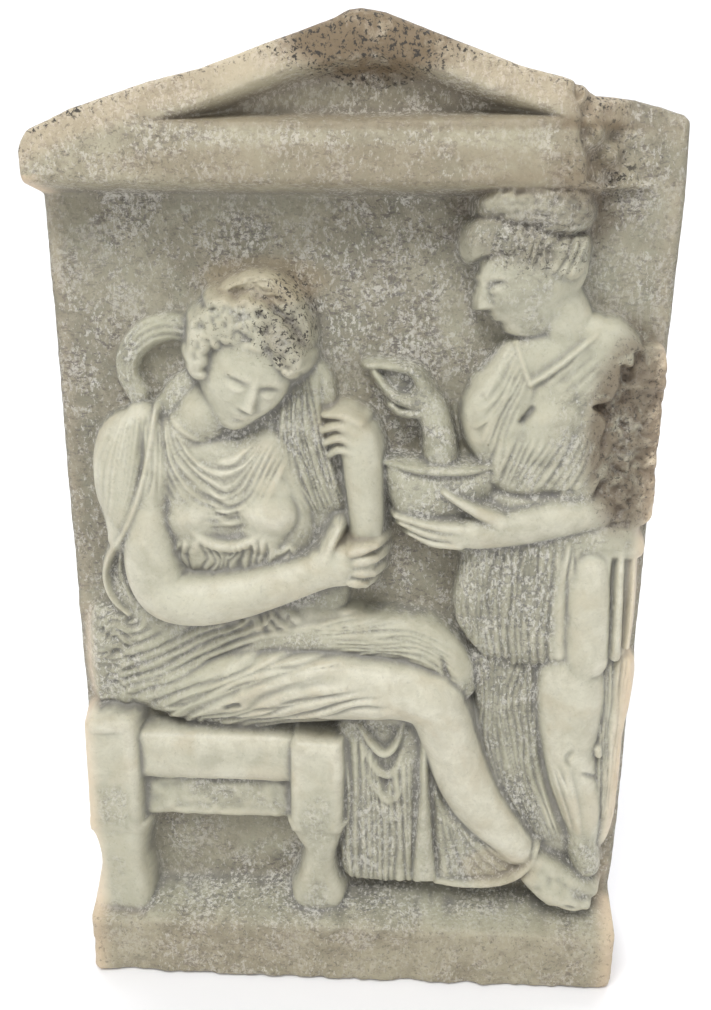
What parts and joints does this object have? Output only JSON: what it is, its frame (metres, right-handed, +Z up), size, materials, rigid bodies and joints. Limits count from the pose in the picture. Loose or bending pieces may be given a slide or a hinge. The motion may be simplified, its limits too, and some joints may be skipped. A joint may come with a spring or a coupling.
{
  "type": "carved stone stele",
  "caption": "Upright slab of carved stone on its own plinth: a seated woman and an attendant with a bowl in high relief under a broken gable.",
  "frame": {"origin": "middle of the block's outer box in plan, on its underside", "axes": "+Z up the slab, -Y out of the carved front, +X to the viewer's right"},
  "size_m": [0.2597, 0.0716, 0.4201],
  "materials": {
    "stone": "worn, waxy marble with grey grain in the hollows and brown patina on the breaks"
  },
  "bodies": {
    "root": {"stele": "stone"}
  },
  "joints": []
}
